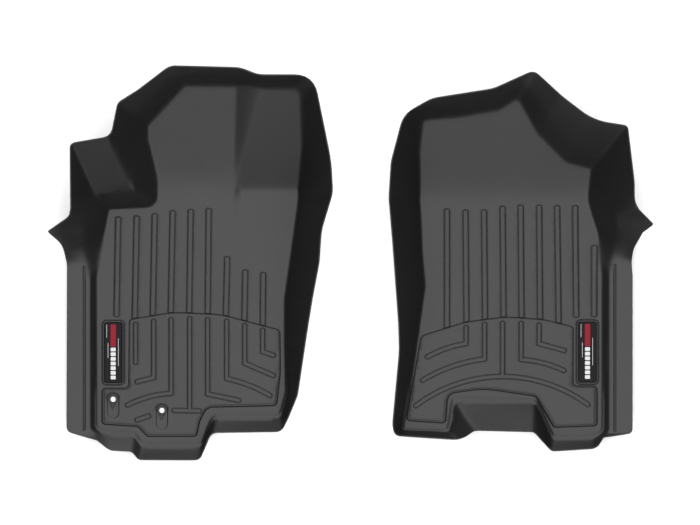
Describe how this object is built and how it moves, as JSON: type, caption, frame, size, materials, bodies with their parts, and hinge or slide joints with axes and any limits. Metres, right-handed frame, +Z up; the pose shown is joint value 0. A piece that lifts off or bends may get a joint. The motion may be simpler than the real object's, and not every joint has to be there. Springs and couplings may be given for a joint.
{
  "type": "front floor mat set",
  "caption": "Pair of moulded black front floor liners for a pickup or SUV, with ribbed trays, sloping toe boards, raised walls and badge plates.",
  "frame": {"origin": "middle of the set's footprint, on the ground", "axes": "+X to the passenger's side, seen from above with the front of the vehicle up; +Y to the front of the vehicle; +Z up"},
  "size_m": [1.1378, 0.7447, 0.2043],
  "materials": {
    "liner_black": "fine pebble grain, satin black thermoplastic elastomer",
    "badge_black": "smooth gloss black",
    "badge_red": "gloss red inlay",
    "badge_white": "gloss white inlay",
    "tape_foam": "grey acrylic foam tape"
  },
  "bodies": {
    "driver_mat": {"driver_liner": "liner_black", "driver_badge_tape": "tape_foam", "driver_badge_plate": "badge_black", "driver_badge_emblem": "badge_red", "driver_badge_bars": "badge_white"},
    "passenger_mat": {"passenger_liner": "liner_black", "passenger_badge_tape": "tape_foam", "passenger_badge_plate": "badge_black", "passenger_badge_emblem": "badge_red", "passenger_badge_bars": "badge_white"}
  },
  "joints": [
    {"name": "passenger_lift", "type": "slide", "parent": "driver_mat", "child": "passenger_mat", "axis": [0, 0, 1], "range_m": [0, 0.4]}
  ]
}
